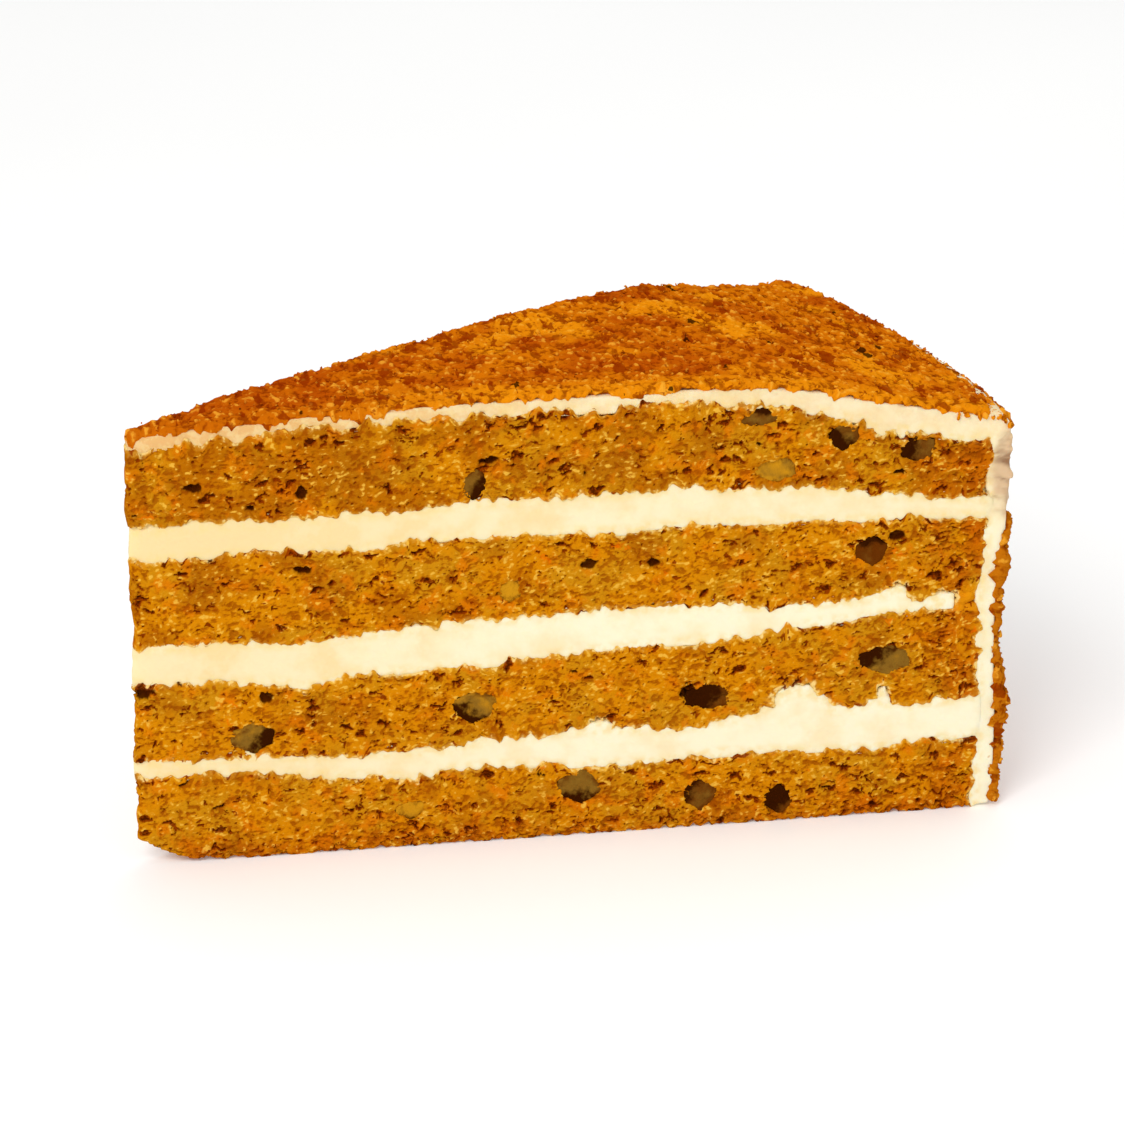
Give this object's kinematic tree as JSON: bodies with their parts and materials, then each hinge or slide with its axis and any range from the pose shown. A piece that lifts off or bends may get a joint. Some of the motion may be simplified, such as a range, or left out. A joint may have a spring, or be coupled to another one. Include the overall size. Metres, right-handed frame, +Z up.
{
  "type": "carrot cake",
  "caption": "Wedge-shaped slice of layered carrot cake with cream fillings, walnut pieces in the crumb, and fine crumbs pressed on its cream-coated top and round side.",
  "frame": {"origin": "under the middle of the slice's bounding box, on the surface that it stands on", "axes": "+X along the front cut from the tip to the round side, +Y away from the front cut, +Z up"},
  "size_m": [0.135, 0.0676, 0.0727],
  "materials": {
    "sponge": "open moist crumb, golden brown, with darker pores and orange shreds of carrot",
    "cream": "smooth soft frosting, warm white, faint sheen",
    "crumb": "dry fine crumbs, orange brown, with dark specks",
    "walnut": "pale grey olive nut flesh with a dark brown skin at its edges"
  },
  "bodies": {
    "root": {"sponge_1": "sponge", "sponge_2": "sponge", "sponge_3": "sponge", "sponge_4": "sponge", "cream_1": "cream", "cream_2": "cream", "cream_3": "cream", "cream_coat": "cream", "crumb_top": "crumb", "crumb_side": "crumb", "walnut_01": "walnut", "walnut_02": "walnut", "walnut_03": "walnut", "walnut_04": "walnut", "walnut_05": "walnut", "walnut_06": "walnut", "walnut_07": "walnut", "walnut_08": "walnut", "walnut_09": "walnut", "walnut_10": "walnut", "walnut_11": "walnut", "walnut_12": "walnut", "walnut_13": "walnut", "walnut_14": "walnut", "walnut_15": "walnut", "walnut_16": "walnut", "walnut_17": "walnut", "walnut_18": "walnut", "walnut_19": "walnut", "walnut_20": "walnut", "walnut_21": "walnut", "walnut_22": "walnut", "walnut_23": "walnut"}
  },
  "joints": []
}
